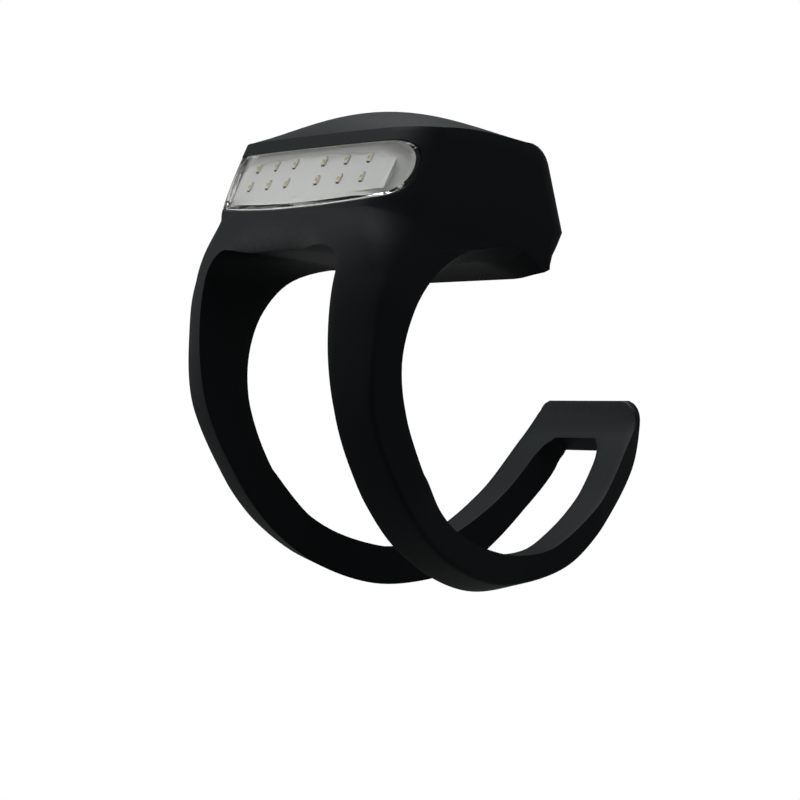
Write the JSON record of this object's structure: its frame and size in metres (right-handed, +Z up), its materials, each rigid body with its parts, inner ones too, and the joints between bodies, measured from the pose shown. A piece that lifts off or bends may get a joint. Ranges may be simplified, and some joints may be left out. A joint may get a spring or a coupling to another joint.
{
  "type": "bicycle tail light",
  "caption": "Wrap-on silicone bicycle light with domed top, wrap-round clear lens, two legs and a slotted tail that closes round a bar or post.",
  "frame": {"origin": "on the axis of the bar that the saddle clamps, half way across the light", "axes": "X along the bar and across the light, -Y out of the lens side, +Z up through the domed top"},
  "size_m": [0.0324, 0.0521, 0.0542],
  "materials": {
    "silicone_black": "satin moulded silicone",
    "lens_clear": "clear polished polycarbonate",
    "light_box_white": "white reflective plastic",
    "board_white": "white solder mask on laminate",
    "chip_phosphor": "pale yellow phosphor",
    "case_nylon": "black nylon, fine grain",
    "seal_rubber": "soft black seal rubber",
    "screw_steel": "plain stainless steel",
    "cell_steel": "nickel plated steel can",
    "contact_brass": "spring brass strip",
    "board_green": "green solder mask on laminate",
    "chip_black": "black moulded package",
    "switch_plastic": "grey switch housing"
  },
  "bodies": {
    "head": {"sleeve_head": "silicone_black", "lens": "lens_clear", "lens_seal": "seal_rubber", "light_box": "light_box_white", "light_board_right": "board_white", "light_board_left": "board_white", "chips_upper": "chip_phosphor", "chips_lower": "chip_phosphor", "case_base": "case_nylon", "case_lid": "case_nylon", "case_screws": "screw_steel", "contact_lower": "contact_brass", "contact_upper": "contact_brass", "cell_lower": "cell_steel", "cell_upper": "cell_steel", "main_board": "board_green", "board_screws": "screw_steel", "control_chip": "chip_black", "resistors": "chip_black", "board_links": "contact_brass", "switch_body": "switch_plastic", "catch_hook": "case_nylon"},
    "button": {"press_pad": "silicone_black", "plunger": "case_nylon", "switch_stem": "switch_plastic"},
    "strap": {"leg_right": "silicone_black", "leg_left": "silicone_black"},
    "tail": {"sleeve_tail": "silicone_black"}
  },
  "joints": [
    {"name": "button_press", "type": "slide", "parent": "head", "child": "button", "axis": [0, 0, -1], "range_m": [0, 0.0006], "stiffness_N_per_m": 2500},
    {"name": "strap_wrap", "type": "hinge", "parent": "head", "child": "strap", "pos_m": [0, -0.01241, -0.01241], "axis": [1, 0, 0], "range_deg": [-20, 20], "stiffness_Nm_per_rad": 0.06},
    {"name": "tail_wrap", "type": "hinge", "parent": "strap", "child": "tail", "pos_m": [0, 0.0086, -0.02157], "axis": [1, 0, 0], "range_deg": [-25, 23], "stiffness_Nm_per_rad": 0.04}
  ]
}
